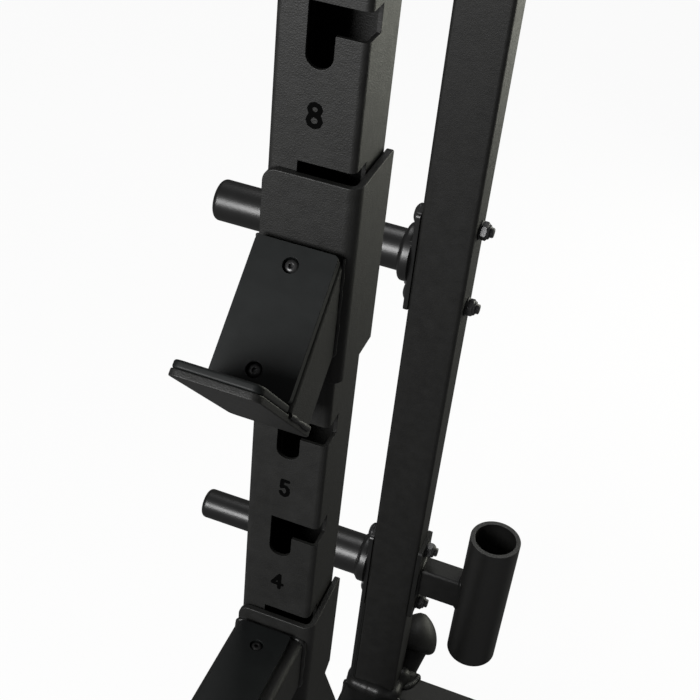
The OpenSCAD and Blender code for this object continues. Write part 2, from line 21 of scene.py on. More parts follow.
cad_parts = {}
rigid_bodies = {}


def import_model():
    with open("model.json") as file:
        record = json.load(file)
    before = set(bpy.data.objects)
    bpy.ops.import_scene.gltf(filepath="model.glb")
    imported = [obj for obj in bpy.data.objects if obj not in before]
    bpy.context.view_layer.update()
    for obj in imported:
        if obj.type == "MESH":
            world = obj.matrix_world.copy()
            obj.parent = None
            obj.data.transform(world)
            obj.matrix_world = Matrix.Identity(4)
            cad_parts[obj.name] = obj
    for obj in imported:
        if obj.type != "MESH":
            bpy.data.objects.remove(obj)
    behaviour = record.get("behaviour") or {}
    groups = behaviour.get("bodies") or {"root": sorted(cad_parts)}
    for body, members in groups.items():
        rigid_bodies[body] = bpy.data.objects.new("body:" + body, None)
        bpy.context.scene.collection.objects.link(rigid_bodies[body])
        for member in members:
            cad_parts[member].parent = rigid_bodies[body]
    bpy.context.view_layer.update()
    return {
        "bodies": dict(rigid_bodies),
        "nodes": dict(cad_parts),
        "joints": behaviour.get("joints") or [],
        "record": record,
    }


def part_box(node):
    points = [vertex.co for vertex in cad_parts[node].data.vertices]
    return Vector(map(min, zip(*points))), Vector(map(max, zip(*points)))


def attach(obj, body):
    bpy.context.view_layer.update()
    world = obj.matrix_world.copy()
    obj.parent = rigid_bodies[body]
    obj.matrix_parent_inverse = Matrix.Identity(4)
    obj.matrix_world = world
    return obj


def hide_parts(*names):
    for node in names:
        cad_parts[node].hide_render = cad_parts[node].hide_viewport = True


MM = 0.001
WHITE = (1.0, 1.0, 1.0, 1.0)
# Points of a solid closer than this are one point, and faces nearer to flat than this are one face
MERGE_MM = 0.01
FLAT_DEG = 0.4
# The outer corners of the rack's tubes
CORNER = 5.0 * MM
# The slope of a bar catch's cradle and back liner
CRADLE_SLOPE_DEG = 43.0
log = logging.getLogger("half_rack")


class Side(Enum):
    """The two side frames, by the sign of their X."""

    LEFT = -1
    RIGHT = 1

    @property
    def word(self) -> str:
        """The word that starts the names of this side's pieces."""
        return self.name.lower()

    def outer(self, low: Vector, high: Vector) -> float:
        """The X of the face of a box that looks out of the rack."""
        return low.x if self is Side.LEFT else high.x


# Materials


def linear(hex_colour: str) -> tuple[float, float, float, float]:
    """Turns an sRGB hex colour into Blender's linear one.

    Args:
        hex_colour: six hex digits, such as "1b1b1b".

    Returns:
        The linear red, green, blue and alpha.
    """
    channels = [int(hex_colour[i : i + 2], 16) / 255 for i in (0, 2, 4)]
    low, high = 0.04045, 12.92
    line = [c / high if c <= low else ((c + 0.055) / 1.055) ** 2.4 for c in channels]
    return (line[0], line[1], line[2], 1.0)


def per_metre(size_mm: float) -> float:
    """The scale of a pattern whose features are this many millimetres wide."""
    return 1000.0 / size_mm


def add_node(tree: NodeTree, kind: str, links: dict | None = None, **settings) -> Node:
    """Adds one shader node.

    Args:
        tree: the material's or world's node tree.
        kind: the node's type name, such as "ShaderNodeBump".
        links: input names or numbers, each with a value or with an output to link from.
        settings: properties of the node itself.

    Returns:
        The new node.
    """
    node = tree.nodes.new(kind)
    for key, value in settings.items():
        setattr(node, key, value)
    for key, value in (links or {}).items():
        if isinstance(value, NodeSocket):
            tree.links.new(value, node.inputs[key])
        else:
            node.inputs[key].default_value = value
    return node


@dataclass(frozen=True)
class Finish:
    """A finish with mottled colour and roughness and two sizes of bump.

    Its shades are sRGB hex, dark and light. Its roughness runs between two values. Its grain and
    swell are each a bump's width and depth in millimetres.
    """

    name: str
    slot: str
    shades: tuple[str, str]
    mottle_mm: float
    rough: tuple[float, float]
    grain: tuple[float, float]
    swell: tuple[float, float]
    metallic: float = 0.0
    ior: float = 1.5
    specular: float = 0.5

    def build(self) -> Material:
        """Makes the material, or returns it if it is there already."""
        found = bpy.data.materials.get(self.name)
        if found:
            return found
        material = bpy.data.materials.new(self.name)
        material.use_nodes = True
        tree = material.node_tree
        tree.nodes.clear()
        place = add_node(tree, "ShaderNodeTexCoord").outputs["Object"]
        mottle, grain, swell = (
            add_node(
                tree,
                "ShaderNodeTexNoise",
                {"Vector": place, "Scale": per_metre(size), "Detail": detail, "Roughness": roughness},
            )
            for size, detail, roughness in (
                (self.mottle_mm, 3.0, 0.55),
                (self.grain[0], 2.0, 0.5),
                (self.swell[0], 2.0, 0.45),
            )
        )
        colour = add_node(
            tree,
            "ShaderNodeMix",
            {0: mottle.outputs["Fac"], 6: linear(self.shades[0]), 7: linear(self.shades[1])},
            data_type="RGBA",
        )
        rough = add_node(
            tree,
            "ShaderNodeMapRange",
            {"Value": mottle.outputs["Fac"], "To Min": self.rough[0], "To Max": self.rough[1]},
        )
        coarse = add_node(
            tree,
            "ShaderNodeBump",
            {"Height": swell.outputs["Fac"], "Strength": 1.0, "Distance": self.swell[1] * MM},
        )
        fine = add_node(
            tree,
            "ShaderNodeBump",
            {
                "Height": grain.outputs["Fac"],
                "Strength": 1.0,
                "Distance": self.grain[1] * MM,
                "Normal": coarse.outputs["Normal"],
            },
        )
        shader = add_node(
            tree,
            "ShaderNodeBsdfPrincipled",
            {
                "Base Color": colour.outputs[2],
                "Roughness": rough.outputs["Result"],
                "Normal": fine.outputs["Normal"],
                "Metallic": self.metallic,
                "IOR": self.ior,
                "Specular IOR Level": self.specular,
            },
        )
        add_node(tree, "ShaderNodeOutputMaterial", {"Surface": shader.outputs["BSDF"]})
        return material


# Polyester powder coat, sprayed dry and baked: a black skin with a fine leathery relief
POWDER_COAT = Finish(
    "fine_texture_powder_coat", "powder_coat", shades=("191918", "292928"), mottle_mm=12.0,
    rough=(0.45, 0.58), grain=(1.0, 0.21), swell=(4.0, 0.15),
)
# The same coat on turned and rolled rounds, where it flows out smoother
SATIN_COAT = Finish(
    "satin_powder_coat", "satin_coat", shades=("1a1a1a", "212121"), mottle_mm=18.0,
    rough=(0.31, 0.38), grain=(0.9, 0.03), swell=(7.0, 0.05), specular=0.85,
)
# The satin coat on the band pegs, rubbed dull by the bands, with its shades painted lighter than the satin
# coat to stand in for the broad soft light on the pegs' heads
DULL_LIT_SATIN_COAT = Finish(
    "rubbed_satin_coat", "satin_coat", shades=("1e1e1d", "292928"), mottle_mm=9.0,
    rough=(0.46, 0.56), grain=(0.9, 0.05), swell=(6.0, 0.1),
)
# The fine-textured coat on a rolled tube, flatter where the spray fell square on, with its shades painted
# lighter than the frame's coat to stand in for light that the lamps don't bring to the holder tubes
LIT_ROUND_COAT = Finish(
    "powder_coat_on_round", "powder_coat", shades=("222221", "2b2b2a"), mottle_mm=14.0,
    rough=(0.4, 0.48), grain=(1.1, 0.08), swell=(6.0, 0.1), specular=0.85,
)
# Powder coat over a weld, pooled and glossier between the ripples
WELD_COAT = Finish(
    "powder_coat_over_weld", "powder_coat", shades=("1b1b1b", "232322"), mottle_mm=9.0,
    rough=(0.32, 0.44), grain=(1.3, 0.06), swell=(6.0, 0.25),
)
# Ultra-high-molecular-weight polyethylene, skived sheet: smooth, waxy and faintly cloudy
LINER_PLASTIC = Finish(
    "polyethylene_liner", "liner_plastic", shades=("121414", "1c1f1f"), mottle_mm=16.0,
    rough=(0.42, 0.6), grain=(0.9, 0.03), swell=(12.0, 0.12), specular=0.36,
)
# Moulded polyethylene with a spark-eroded grain: even and dull
CAP_PLASTIC = Finish(
    "moulded_cap_plastic", "cap_plastic", shades=("171717", "1c1c1c"), mottle_mm=8.0,
    rough=(0.55, 0.65), grain=(0.8, 0.06), swell=(9.0, 0.03),
)
# Blackened alloy steel: oil-dark, with a little metal in its shine
BLACK_OXIDE = Finish(
    "black_oxide_steel", "fastener_steel", shades=("424243", "5a5a5a"), mottle_mm=3.0,
    rough=(0.26, 0.38), grain=(0.6, 0.02), swell=(3.0, 0.03), metallic=0.6,
)
# The spotter liners' screws, dulled by the thin coat over them
COATED_STEEL = Finish(
    "coated_screw_steel", "fastener_steel", shades=("161616", "1d1d1d"), mottle_mm=3.0,
    rough=(0.5, 0.6), grain=(0.6, 0.02), swell=(3.0, 0.03),
)
# Laser-cut hooks, coated and rubbed smooth by the slots
HOOK_STEEL = Finish(
    "satin_hook_steel", "hook_steel", shades=("1c1c1c", "262626"), mottle_mm=6.0,
    rough=(0.35, 0.48), grain=(0.8, 0.03), swell=(5.0, 0.04),
)
# Vulcanised rubber: dull and slightly grey with bloom
PAD_RUBBER = Finish(
    "pad_rubber", "pad_rubber", shades=("131313", "1c1c1b"), mottle_mm=9.0,
    rough=(0.75, 0.88), grain=(0.9, 0.05), swell=(6.0, 0.04),
)
# Flat black enamel, filled into the numbers: almost without shine
NUMBER_PAINT = Finish(
    "number_enamel", "powder_coat", shades=("040404", "070707"), mottle_mm=4.0,
    rough=(0.7, 0.8), grain=(0.8, 0.02), swell=(3.0, 0.02), specular=0.04,
)

# The finish of each slot in the record
FINISH_OF_SLOT = {
    finish.slot: finish
    for finish in (
        POWDER_COAT, SATIN_COAT, HOOK_STEEL, BLACK_OXIDE, LINER_PLASTIC, CAP_PLASTIC, PAD_RUBBER
    )
}


# Modelling


def only(*objects: Object) -> None:
    """Selects these objects and nothing else, the first of them active."""
    bpy.ops.object.select_all(action="DESELECT")
    for thing in objects:
        thing.select_set(True)
    bpy.context.view_layer.objects.active = objects[0]


def edit(obj: Object) -> None:
    """Enters edit mode on one object with all of its mesh selected."""
    only(obj)
    bpy.ops.object.mode_set(mode="EDIT")
    bpy.ops.mesh.select_all(action="SELECT")


def leave_edit() -> None:
    """Returns to object mode."""
    bpy.ops.object.mode_set(mode="OBJECT")


def settle(obj: Object) -> Object:
    """Moves the object's place and turn into its mesh, so that it sits at the origin."""
    only(obj)
    bpy.ops.object.transform_apply(location=True, rotation=True, scale=True)
    return obj


def modify(obj: Object, kind: str, **settings) -> None:
    """Adds a modifier with these settings and applies it."""
    only(obj)
    modifier = obj.modifiers.new(kind.lower(), kind)
    for key, value in settings.items():
        setattr(modifier, key, value)
    bpy.ops.object.modifier_apply(modifier=modifier.name)


def smooth(obj: Object, angle: float = 32.0) -> None:
    """Shades the object smooth, apart from its edges sharper than the angle."""
    only(obj)
    bpy.ops.object.shade_smooth_by_angle(angle=math.radians(angle))


def soften(obj: Object, width_mm: float, segments: int = 2, angle: float = 40.0) -> None:
    """Rounds every sharp edge of the object."""
    modify(
        obj,
        "BEVEL",
        width=width_mm * MM,
        segments=segments,
        limit_method="ANGLE",
        angle_limit=math.radians(angle),
        use_clamp_overlap=True,
    )
    smooth(obj)
    modify(obj, "WEIGHTED_NORMAL", weight=80, keep_sharp=True)


def finish_piece(obj: Object, finish: Finish, body: str, replaced: Sequence[str] = ()) -> Object:
    """Gives a piece its material and body.

    Args:
        obj: the finished mesh.
        finish: its finish.
        body: the body that it rides on.
        replaced: the construction nodes that it stands for.

    Returns:
        The same object.
    """
    obj.data.materials.clear()
    obj.data.materials.append(finish.build())
    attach(obj, body)
    if replaced:
        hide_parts(*replaced)
    log.info("%s: %d faces on %s", obj.name, len(obj.data.polygons), body)
    return obj


def fair_copy(node: Object, name: str, width_mm: float, segments: int = 2) -> Object:
    """Copies a construction solid, joins its loose triangles and softens its edges.

    Args:
        node: the solid's object.
        name: the new piece's name.
        width_mm: the width of the softened edges.
        segments: the number of faces across a softened edge.

    Returns:
        The new piece, with no parent and no material.
    """
    only(node)
    bpy.ops.object.duplicate()
    copy = bpy.context.view_layer.objects.active
    copy.name = name
    for key in [k for k in copy.keys() if k.startswith("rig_")]:
        del copy[key]
    only(copy)
    bpy.ops.object.parent_clear(type="CLEAR_KEEP_TRANSFORM")
    edit(copy)
    bpy.ops.mesh.remove_doubles(threshold=MERGE_MM * MM)
    bpy.ops.mesh.dissolve_limited(angle_limit=math.radians(FLAT_DEG), delimit=set())
    leave_edit()
    if copy.data.has_custom_normals:
        bpy.ops.mesh.customdata_custom_splitnormals_clear()
    soften(copy, width_mm, segments)
    return copy


def turned(name: str, profile: Iterable[tuple[float, float]], steps: int = 40) -> Object:
    """Turns a profile about the Z axis.

    Args:
        name: the object's name.
        profile: radius and height of each point in millimetres, from the axis round to the axis.
        steps: the number of faces round the axis.

    Returns:
        The closed, turned mesh, standing at the origin.
    """
    mesh = bpy.data.meshes.new(name)
    points = [(radius * MM, 0.0, height * MM) for radius, height in profile]
    mesh.from_pydata(points, [(i, i + 1) for i in range(len(points) - 1)], [])
    obj = bpy.data.objects.new(name, mesh)
    bpy.context.scene.collection.objects.link(obj)
    edit(obj)
    bpy.ops.mesh.spin(steps=steps, angle=math.tau, center=(0, 0, 0), axis=(0, 0, 1))
    bpy.ops.mesh.select_all(action="SELECT")
    bpy.ops.mesh.remove_doubles(threshold=0.002 * MM)
    bpy.ops.mesh.normals_make_consistent(inside=False)
    leave_edit()
    return obj


def carve(obj: Object, tool: Object, operation: str = "DIFFERENCE") -> None:
    """Cuts an object with a tool, or keeps what the two share, and deletes the tool."""
    modify(obj, "BOOLEAN", operation=operation, object=tool, solver="EXACT")
    bpy.data.objects.remove(tool, do_unlink=True)


def hex_prism(across_mm: float, height_mm: float, base_mm: float = 0.0) -> Object:
    """A six-sided prism on the Z axis, by its width across flats."""
    bpy.ops.mesh.primitive_cylinder_add(
        vertices=6,
        radius=across_mm * MM / math.sqrt(3),
        depth=height_mm * MM,
        location=(0, 0, (base_mm + height_mm / 2) * MM),
    )
    return settle(bpy.context.view_layer.objects.active)


def placed_copy(model: Object, name: str, place: Matrix) -> Object:
    """Copies a model, with its own mesh, to a place in the frame."""
    only(model)
    bpy.ops.object.duplicate()
    copy = bpy.context.view_layer.objects.active
    copy.name = name
    copy.matrix_world = place
    return settle(copy)


def towards(origin: Vector, direction: Vector, turn: float = 0.0) -> Matrix:
    """The place whose Z axis points along a direction, turned about it in degrees."""
    spin = direction.to_track_quat("Z", "Y").to_matrix().to_4x4()
    return Matrix.Translation(origin) @ spin @ Matrix.Rotation(math.radians(turn), 4, "Z")


@dataclass(frozen=True)
class Bead:
    """A run of weld with soft ripples and lumps, laid along a line of points.

    The depths are shares of its radius, size_mm. The drift is how far it wanders from the line,
    over waves that are drift_wave lumps long.
    """

    size_mm: float = 3.2
    ripple_mm: float = 2.8
    ripple_depth: float = 0.05
    lump_mm: float = 14.0
    lump_depth: float = 0.4
    drift_mm: float = 0.5
    drift_wave: float = 0.6
    samples: int = 4
    smooth_deg: float = 60.0

    def lay(self, name: str, path: Sequence[Vector], closed: bool) -> Object:
        """Lays the bead.

        Args:
            name: the piece's name.
            path: the corners and bends of the seam that it fills.
            closed: whether the seam runs back to its first point.

        Returns:
            The bead's mesh.
        """
        corners = list(path) + ([path[0]] if closed else [])
        step = self.ripple_mm * MM / self.samples
        points: list[Vector] = []
        for start, end in zip(corners, corners[1:]):
            count = max(1, round((end - start).length / step))
            points += [start.lerp(end, i / count) for i in range(count)]
        if not closed:
            points.append(corners[-1])
        curve = bpy.data.curves.new(name, "CURVE")
        curve.dimensions = "3D"
        curve.bevel_depth = self.size_mm * MM
        curve.bevel_resolution = 3
        curve.use_fill_caps = True
        spline = curve.splines.new("POLY")
        spline.points.add(len(points) - 1)
        for i, (knot, point) in enumerate(zip(spline.points, points)):
            lump = noise.noise(point / (self.lump_mm * MM))
            drift = noise.noise_vector(point / (self.drift_wave * self.lump_mm * MM)) * self.drift_mm * MM
            ripple = math.sin(math.tau * i / self.samples)
            knot.co = (*(point + drift), 1.0)
            knot.radius = 1.0 + self.ripple_depth * ripple + self.lump_depth * lump
        spline.use_cyclic_u = closed
        obj = bpy.data.objects.new(name, curve)
        bpy.context.scene.collection.objects.link(obj)
        only(obj)
        bpy.ops.object.convert(target="MESH")
        obj = bpy.context.view_layer.objects.active
        smooth(obj, self.smooth_deg)
        return obj


def round_outline(half_a: float, half_b: float, radius: float, steps: int = 5) -> list[tuple[float, float]]:
    """The points of a rectangle with round corners, about its middle, in the caller's units."""
    points = []
    for quarter, (sign_a, sign_b) in enumerate(((1, 1), (-1, 1), (-1, -1), (1, -1))):
        for i in range(steps + 1):
            angle = math.radians(90 * (quarter + i / steps))
            points.append(
                (
                    sign_a * (half_a - radius) + radius * math.cos(angle),
                    sign_b * (half_b - radius) + radius * math.sin(angle),
                )
            )
    return points


def loop(
    middle: Vector,
    along: Vector,
    across: Vector,
    half_a: float,
    half_b: float,
    radius: float = CORNER,
    steps: int = 5,
) -> list[Vector]:
    """The closed seam round a tube's end, in the plane of two directions."""
    return [middle + along * a + across * b for a, b in round_outline(half_a, half_b, radius, steps)]


def trough(middle: Vector, along: Vector, across: Vector, half_a: float, half_b: float) -> list[Vector]:
    """The seam down one side of a tube's end, across below it and up its other side."""
    outline = round_outline(half_a, half_b, CORNER)
    lower = outline[len(outline) // 2 :]
    ends = [(-half_a, half_b)] + lower + [(half_a, half_b)]
    return [middle + along * a + across * b for a, b in ends]


def arc(
    middle: Vector, along: Vector, across: Vector, radius: float, first: float, last: float, steps: int = 12
) -> list[Vector]:
    """Points on a part of a circle, between two angles in degrees."""
    angles = [math.radians(first + (last - first) * i / steps) for i in range(steps + 1)]
    return [middle + along * (radius * math.cos(a)) + across * (radius * math.sin(a)) for a in angles]


def loose_parts(node: Object) -> list[list[Vector]]:
    """The points of each separate solid in a construction node."""
    only(node)
    bpy.ops.object.duplicate()
    edit(bpy.context.view_layer.objects.active)
    bpy.ops.mesh.remove_doubles(threshold=MERGE_MM * MM)
    bpy.ops.mesh.separate(type="LOOSE")
    leave_edit()
    copies = list(bpy.context.selected_objects)
    parts = [[copy.matrix_world @ point.co for point in copy.data.vertices] for copy in copies]
    for copy in copies:
        bpy.data.objects.remove(copy, do_unlink=True)
    return parts


def joined(pieces: Sequence[Object], name: str) -> Object:
    """Joins pieces into one object."""
    only(*pieces)
    if len(pieces) > 1:
        bpy.ops.object.join()
    whole = bpy.context.view_layer.objects.active
    whole.name = name
    return whole


# Sub-assemblies


@dataclass
class Rack:
    """What every sub-assembly asks the frame for."""

    frame: dict
    slot_of: dict[str, str] = field(default_factory=dict)

    def __post_init__(self) -> None:
        """Notes which finish slot each construction node has."""
        for part in self.frame["record"]["subparts"]:
            self.slot_of[part["node"]] = part["material_slot"]

    def body_of(self, node: str) -> str:
        """The body that a construction node belongs to."""
        bodies = self.frame["record"]["behaviour"]["bodies"]
        return next(body for body, nodes in bodies.items() if node in nodes)

    def dress(self, node: str, width_mm: float, segments: int = 2, finish: Finish | None = None) -> Object:
        """Stands a softened copy in for a construction node.

        Args:
            node: the node's name.
            width_mm: the width of its softened edges.
            segments: the number of faces across a softened edge.
            finish: its finish, if not the usual one of its slot.

        Returns:
            The new piece.
        """
        finish = finish or FINISH_OF_SLOT[self.slot_of[node]]
        copy = fair_copy(self.frame["nodes"][node], node + "_skin", width_mm, segments)
        return finish_piece(copy, finish, self.body_of(node), [node])


@dataclass
class Tubework:
    """The welded tubes of the frame, with their caps and pads."""

    rack: Rack
    tube_edge_mm: float = 0.35
    cap_edge_mm: float = 0.5

    def build(self) -> None:
        """Dresses every tube, cap and pad."""
        for side in Side:
            for part in ("front_upright", "rear_upright", "base_runner", "diagonal_brace", "top_beam"):
                self.rack.dress(f"{side.word}_{part}", self.tube_edge_mm)
        for node in ("rear_base_crossmember", "rear_top_crossmember"):
            self.rack.dress(node, self.tube_edge_mm)
        for node in ("upright_caps", "runner_caps", "crossmember_caps", "foot_pads"):
            self.rack.dress(node, self.cap_edge_mm)


X, Y, Z = Vector((1, 0, 0)), Vector((0, 1, 0)), Vector((0, 0, 1))


@dataclass
class Welds:
    """Every weld that can be seen on the frame, the catches and the spotter arms.

    The fields that end in _bead are radii in millimetres.
    """

    rack: Rack
    tube_bead: float = 3.0
    runner_bead: float = 3.4
    plate_bead: float = 2.6
    collar_bead: float = 1.8
    holder_bead: float = 2.8
    band_bead: float = 5.0
    cradle_bead: float = 1.6
    lip_bead: float = 1.9
    arm_rear_bead: float = 2.4
    arm_front_bead: float = 2.2
    fill_bead: float = 1.5
    fill_in_mm: tuple[float, float] = (1.2, 1.3)
    foot_lump_mm: float = 24.0
    foot_lift: float = 0.35
    saddle_steps: int = 48
    arm_end_mm: float = 5.0
    flange_mm: float = 5.5
    flange_half_mm: float = 61.5
    collar_r_mm: float = 33.0
    collar_mm: float = 12.0
    peg_r_mm: float = 23.75
    sleeve_r_mm: float = 27.25
    grip_r_mm: float = 17.0
    arm_half_mm: tuple[float, float] = (15.0, 23.5)
    band_foot_mm: float = 19.0
    band_out_mm: float = 63.0
    cradle_drop_mm: float = 50.0
    cradle_len_mm: float = 107.0
    cradle_d_mm: float = 59.0

    def build(self) -> None:
        """Lays the welds of both sides and of the pull-up bar."""
        kinds = (self.weld_base, self.weld_brace, self.weld_top, self.weld_pegs)
        kinds += (self.weld_holder, self.weld_band_peg, self.weld_catch, self.weld_spotter)
        for side in Side:
            for weld in kinds:
                weld(side)
        low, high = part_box("pull_up_bar")
        radius = self.grip_r_mm * MM
        for word, x in (("left", low.x + self.flange_mm * MM), ("right", high.x - self.flange_mm * MM)):
            middle = Vector((x, (low.y + high.y) / 2, (low.z + high.z) / 2))
            path = loop(middle, Y, Z, radius, radius, radius, 8)
            self.seam(f"{word}_grip_weld", "pull_up_bar", path, True, self.plate_bead)

    def seam(
        self, name: str, node: str, path: Sequence[Vector], closed: bool, size_mm: float, **shape: float
    ) -> None:
        """Lays one weld on the body that a node belongs to.

        Args:
            name: the weld's name.
            node: a construction node of the body that it rides on.
            path: the points of its seam.
            closed: whether the seam runs back to its first point.
            size_mm: the bead's radius.
            shape: other settings of the bead.
        """
        bead = Bead(size_mm=size_mm, **shape).lay(name, path, closed)
        finish_piece(bead, WELD_COAT, self.rack.body_of(node))

    def weld_base(self, side: Side) -> None:
        """Welds the uprights to the base, and the runner to the crossmember."""
        for part, size, lump in (("front_upright", 3.8, 0.35), ("rear_upright", 10.5, 0.8)):
            node = f"{side.word}_{part}"
            low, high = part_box(node)
            lift = self.foot_lift * size * MM
            middle = Vector(((low.x + high.x) / 2, (low.y + high.y) / 2, low.z + lift))
            path = loop(middle, X, Y, (high.x - low.x) / 2, (high.y - low.y) / 2)
            shape = {"lump_depth": lump, "lump_mm": self.foot_lump_mm, "ripple_depth": 0.0}
            self.seam(node + "_foot_weld", node, path, True, size, **shape)
        node = f"{side.word}_base_runner"
        low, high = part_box(node)
        middle = Vector(((low.x + high.x) / 2, high.y, (low.z + high.z) / 2))
        path = loop(middle, X, Z, (high.x - low.x) / 2, (high.z - low.z) / 2)
        self.seam(node + "_weld", node, path, True, self.runner_bead)

    def weld_brace(self, side: Side) -> None:
        """Welds both ends of the sloping brace."""
        node = f"{side.word}_diagonal_brace"
        low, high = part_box(node)
        width = high.x - low.x
        length = math.hypot(high.y - low.y, high.z - low.z)
        half_up = width * length / (high.y - low.y) / 2
        half_back = width * length / (high.z - low.z) / 2
        x = (low.x + high.x) / 2
        top = loop(Vector((x, low.y, high.z - half_up)), X, Z, width / 2, half_up)
        foot = loop(Vector((x, high.y - half_back, low.z)), X, Y, width / 2, half_back)
        self.seam(node + "_top_weld", node, top, True, self.tube_bead)
        self.seam(node + "_foot_weld", node, foot, True, self.tube_bead)

    def weld_top(self, side: Side) -> None:
        """Welds the top beam to the uprights, and the crossmember to the beam."""
        node = f"{side.word}_top_beam"
        low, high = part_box(node)
        half = (high - low) / 2
        for word, y in (("front", low.y), ("rear", high.y)):
            path = loop(Vector((low.x + half.x, y, low.z + half.z)), X, Z, half.x, half.z)
            self.seam(f"{node}_{word}_weld", node, path, True, self.tube_bead)
        low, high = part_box("rear_top_crossmember")
        half = (high - low) / 2
        path = loop(Vector((side.outer(low, high), low.y + half.y, low.z + half.z)), Y, Z, half.y, half.z)
        name = f"{side.word}_top_crossmember_weld"
        self.seam(name, "rear_top_crossmember", path, True, self.tube_bead)

    def weld_pegs(self, side: Side) -> None:
        """Welds each storage peg's collar to its plate, and the peg to the collar."""
        low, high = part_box(f"{side.word}_rear_upright")
        face = side.outer(low, high)
        y = (low.y + high.y) / 2
        for part, radius in (("upper_peg", self.peg_r_mm), ("lower_peg", self.sleeve_r_mm)):
            node = f"{side.word}_{part}"
            axis_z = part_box(node)[1].z - self.flange_half_mm * MM
            root = Vector((face + side.value * self.flange_mm * MM, y, axis_z))
            for word, first in (("upper", 50), ("lower", 230)):
                path = arc(root, Y, Z, self.collar_r_mm * MM, first, first + 80)
                self.seam(f"{node}_{word}_weld", node, path, False, self.plate_bead)
            if part == "lower_peg":
                self.fill_seam(side, node, axis_z - self.flange_half_mm * MM)
            collar = root + X * (side.value * self.collar_mm * MM)
            r = radius * MM
            path = loop(collar, Y, Z, r, r, r, 9)
            self.seam(f"{node}_collar_weld", node, path, True, self.collar_bead, lump_depth=0.15)

    def fill_seam(self, side: Side, node: str, top: float) -> None:
        """Fills the groove between the rear upright's front corner and a peg's long plate, up to a height."""
        low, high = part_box(f"{side.word}_rear_upright")
        face = side.outer(low, high)
        across, back = (v * MM for v in self.fill_in_mm)
        edge = Vector((face - side.value * across, low.y + back, low.z))
        path = [edge, edge + Z * (top - low.z)]
        self.seam(node + "_seam_fill", node, path, False, self.fill_bead, lump_depth=0.15, drift_mm=0.1)

    def weld_holder(self, side: Side) -> None:
        """Welds the holder's arm to its plate and to the holder tube."""
        bracket = f"{side.word}_holder_bracket"
        low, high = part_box(bracket)
        tube_low, tube_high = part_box(f"{side.word}_holder_tube")
        axis = (tube_low + tube_high) / 2
        tube_r = (tube_high.x - tube_low.x) / 2
        plate_x = side.outer(low, high) - side.value * self.flange_mm * MM
        half_y, half_z = (v * MM for v in self.arm_half_mm)
        middle = Vector((plate_x, (low.y + high.y) / 2, (low.z + high.z) / 2))
        path = loop(middle, Y, Z, half_y, half_z)
        self.seam(f"{bracket}_plate_weld", bracket, path, True, self.holder_bead)
        saddle = []
        for point in loop(Vector((axis.x, middle.y, middle.z)), Y, Z, half_y, half_z, steps=8):
            point.x += side.value * math.sqrt(tube_r**2 - (point.y - middle.y) ** 2)
            saddle.append(point)
        self.seam(f"{bracket}_tube_weld", bracket, saddle, True, self.plate_bead)

    def weld_band_peg(self, side: Side) -> None:
        """Welds the band peg to the upper rear edge of the crossmember."""
        _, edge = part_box("rear_base_crossmember")
        face = side.outer(*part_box(f"{side.word}_rear_upright"))
        foot = Vector((face - side.value * self.band_out_mm * MM, edge.y, edge.z))
        out = (Y + Z).normalized()
        down = (Y - Z).normalized()
        radius = self.band_foot_mm * MM
        path = []
        for i in range(self.saddle_steps):
            angle = math.tau * i / self.saddle_steps
            beside, below = radius * math.cos(angle), radius * math.sin(angle)
            path.append(foot + X * beside + down * below - out * abs(below))
        node = f"{side.word}_band_peg"
        self.seam(node + "_weld", node, path, True, self.band_bead)

    def weld_catch(self, side: Side) -> None:
        """Welds the cradle tube to the bent plate and to the lip."""
        plate = f"{side.word}_catch_plate"
        low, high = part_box(plate)
        cradle_low, cradle_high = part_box(f"{side.word}_catch_cradle")
        x = (cradle_low.x + cradle_high.x) / 2
        half = (cradle_high.x - cradle_low.x) / 2
        slope = math.radians(CRADLE_SLOPE_DEG)
        top = Vector((x, low.y, high.z - self.cradle_drop_mm * MM))
        half_up = self.cradle_d_mm * MM / math.cos(slope) / 2
        path = trough(top - Z * half_up, X, Z, half, half_up)
        self.seam(f"{plate}_weld", plate, path, False, self.cradle_bead)
        up_slope = Vector((0, math.cos(slope), math.sin(slope)))
        off_slope = Vector((0, -math.sin(slope), math.cos(slope)))
        end = top - up_slope * (self.cradle_len_mm * MM) - off_slope * (self.cradle_d_mm * MM / 2)
        lip = f"{side.word}_catch_lip"
        path = trough(end, X, off_slope, half, self.cradle_d_mm * MM / 2)
        self.seam(f"{lip}_weld", lip, path, False, self.lip_bead)

    def weld_spotter(self, side: Side) -> None:
        """Welds the spotter tube to its bent plate and to the end plate."""
        node = f"{side.word}_spotter_tube"
        low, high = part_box(node)
        half = (high - low) / 2
        middle = Vector((low.x + half.x, high.y, low.z + half.z))
        path = loop(middle, X, Z, half.x, half.z)
        self.seam(node + "_rear_weld", node, path, True, self.arm_rear_bead)
        edge, end = Vector((0, low.y, high.z)), self.arm_end_mm * MM
        path = [edge + X * (low.x + end), edge + X * (high.x - end)]
        self.seam(node + "_front_weld", node, path, False, self.arm_front_bead)


